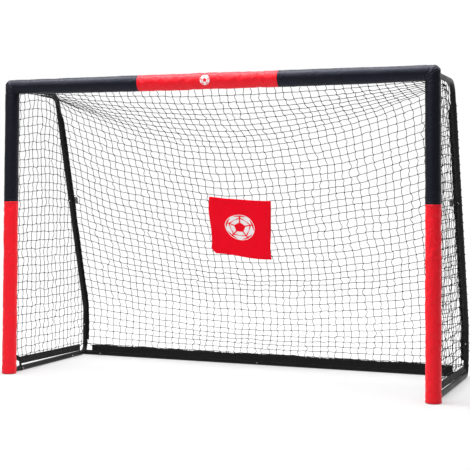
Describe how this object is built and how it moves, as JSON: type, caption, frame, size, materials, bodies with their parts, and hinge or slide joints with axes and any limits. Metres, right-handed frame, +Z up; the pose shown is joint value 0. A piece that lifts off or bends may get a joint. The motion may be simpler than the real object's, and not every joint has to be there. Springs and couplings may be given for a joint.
{
  "type": "soccer goal frame",
  "caption": "Padded youth soccer goal: push-together steel tube frame with foam-padded posts and crossbar, sloping rear tubes, ground bars, snap buttons and a net.",
  "frame": {"origin": "on the ground, in the middle of the goal's width and depth", "axes": "+X along the crossbar to the right seen from the front, +Y from the goal mouth to the back net, +Z up"},
  "size_m": [2.4, 0.904, 1.6],
  "materials": {
    "frame_tube": "black powder coat, satin",
    "spring_steel": "zinc plated",
    "foam": "closed-cell foam, matt",
    "red_cover": "coated woven polyester, soft sheen",
    "black_cover": "coated woven polyester, soft sheen",
    "red_panel": "plain woven fabric, matt",
    "foot_rubber": "moulded, matt",
    "net_twine": "knotted braided twine",
    "net_band": "woven webbing"
  },
  "bodies": {
    "frame": {"corner_elbow_left": "frame_tube", "corner_elbow_right": "frame_tube", "crossbar_cover_centre": "red_cover", "crossbar_cover_left": "black_cover", "crossbar_cover_right": "black_cover", "crossbar_foam": "foam", "crossbar_tube_centre": "frame_tube", "crossbar_tube_left": "frame_tube", "crossbar_tube_right": "frame_tube", "foot_cap_left": "foot_rubber", "foot_cap_right": "foot_rubber", "foot_connector_left": "frame_tube", "foot_connector_right": "frame_tube", "net_back": "net_twine", "net_binding_left": "net_band", "net_binding_right": "net_band", "net_front_edging": "net_band", "net_hem_back": "net_band", "net_hem_side_left": "net_band", "net_hem_side_right": "net_band", "net_panel": "red_panel", "net_side_left": "net_twine", "net_side_right": "net_twine", "net_straps": "net_band", "post_cover_lower_left": "red_cover", "post_cover_lower_right": "red_cover", "post_cover_upper_left": "black_cover", "post_cover_upper_right": "black_cover", "post_foam_left": "foam", "post_foam_right": "foam", "post_lower_tube_left": "frame_tube", "post_lower_tube_right": "frame_tube", "post_upper_tube_left": "frame_tube", "post_upper_tube_right": "frame_tube", "rear_corner_left": "frame_tube", "rear_corner_right": "frame_tube", "rear_ground_tube_left": "frame_tube", "rear_ground_tube_right": "frame_tube", "rear_lower_tube_left": "frame_tube", "rear_lower_tube_right": "frame_tube", "rear_upper_tube_left": "frame_tube", "rear_upper_tube_right": "frame_tube", "side_ground_tube_left": "frame_tube", "side_ground_tube_right": "frame_tube", "snap_springs": "spring_steel"},
    "button_back_centre": {"snap_button_back_centre": "spring_steel"},
    "button_corner_back_left": {"snap_button_corner_back_left": "spring_steel"},
    "button_corner_back_right": {"snap_button_corner_back_right": "spring_steel"},
    "button_corner_side_left": {"snap_button_corner_side_left": "spring_steel"},
    "button_corner_side_right": {"snap_button_corner_side_right": "spring_steel"},
    "button_corner_up_left": {"snap_button_corner_up_left": "spring_steel"},
    "button_corner_up_right": {"snap_button_corner_up_right": "spring_steel"},
    "button_foot_left": {"snap_button_foot_left": "spring_steel"},
    "button_foot_right": {"snap_button_foot_right": "spring_steel"},
    "button_top_left": {"snap_button_top_left": "spring_steel"},
    "button_top_right": {"snap_button_top_right": "spring_steel"},
    "button_upright_left": {"snap_button_upright_left": "spring_steel"},
    "button_upright_right": {"snap_button_upright_right": "spring_steel"}
  },
  "joints": [
    {"name": "press_back_centre", "type": "slide", "parent": "frame", "child": "button_back_centre", "axis": [0, 1, 0], "range_m": [0, 0.0046], "stiffness_N_per_m": 3000},
    {"name": "press_corner_back_left", "type": "slide", "parent": "frame", "child": "button_corner_back_left", "axis": [0, 1, 0], "range_m": [0, 0.0046], "stiffness_N_per_m": 3000},
    {"name": "press_corner_back_right", "type": "slide", "parent": "frame", "child": "button_corner_back_right", "axis": [0, 1, 0], "range_m": [0, 0.0046], "stiffness_N_per_m": 3000},
    {"name": "press_corner_side_left", "type": "slide", "parent": "frame", "child": "button_corner_side_left", "axis": [-1, 0, 0], "range_m": [0, 0.0046], "stiffness_N_per_m": 3000},
    {"name": "press_corner_side_right", "type": "slide", "parent": "frame", "child": "button_corner_side_right", "axis": [1, 0, 0], "range_m": [0, 0.0046], "stiffness_N_per_m": 3000},
    {"name": "press_corner_up_left", "type": "slide", "parent": "frame", "child": "button_corner_up_left", "axis": [0, 1, 0], "range_m": [0, 0.0046], "stiffness_N_per_m": 3000},
    {"name": "press_corner_up_right", "type": "slide", "parent": "frame", "child": "button_corner_up_right", "axis": [0, 1, 0], "range_m": [0, 0.0046], "stiffness_N_per_m": 3000},
    {"name": "press_foot_left", "type": "slide", "parent": "frame", "child": "button_foot_left", "axis": [-1, 0, 0], "range_m": [0, 0.0046], "stiffness_N_per_m": 3000},
    {"name": "press_foot_right", "type": "slide", "parent": "frame", "child": "button_foot_right", "axis": [1, 0, 0], "range_m": [0, 0.0046], "stiffness_N_per_m": 3000},
    {"name": "press_top_left", "type": "slide", "parent": "frame", "child": "button_top_left", "axis": [-1, 0, 0], "range_m": [0, 0.0046], "stiffness_N_per_m": 3000},
    {"name": "press_top_right", "type": "slide", "parent": "frame", "child": "button_top_right", "axis": [1, 0, 0], "range_m": [0, 0.0046], "stiffness_N_per_m": 3000},
    {"name": "press_upright_left", "type": "slide", "parent": "frame", "child": "button_upright_left", "axis": [0, 0.9595, 0.2816], "range_m": [0, 0.0046], "stiffness_N_per_m": 3000},
    {"name": "press_upright_right", "type": "slide", "parent": "frame", "child": "button_upright_right", "axis": [0, 0.9595, 0.2816], "range_m": [0, 0.0046], "stiffness_N_per_m": 3000}
  ]
}
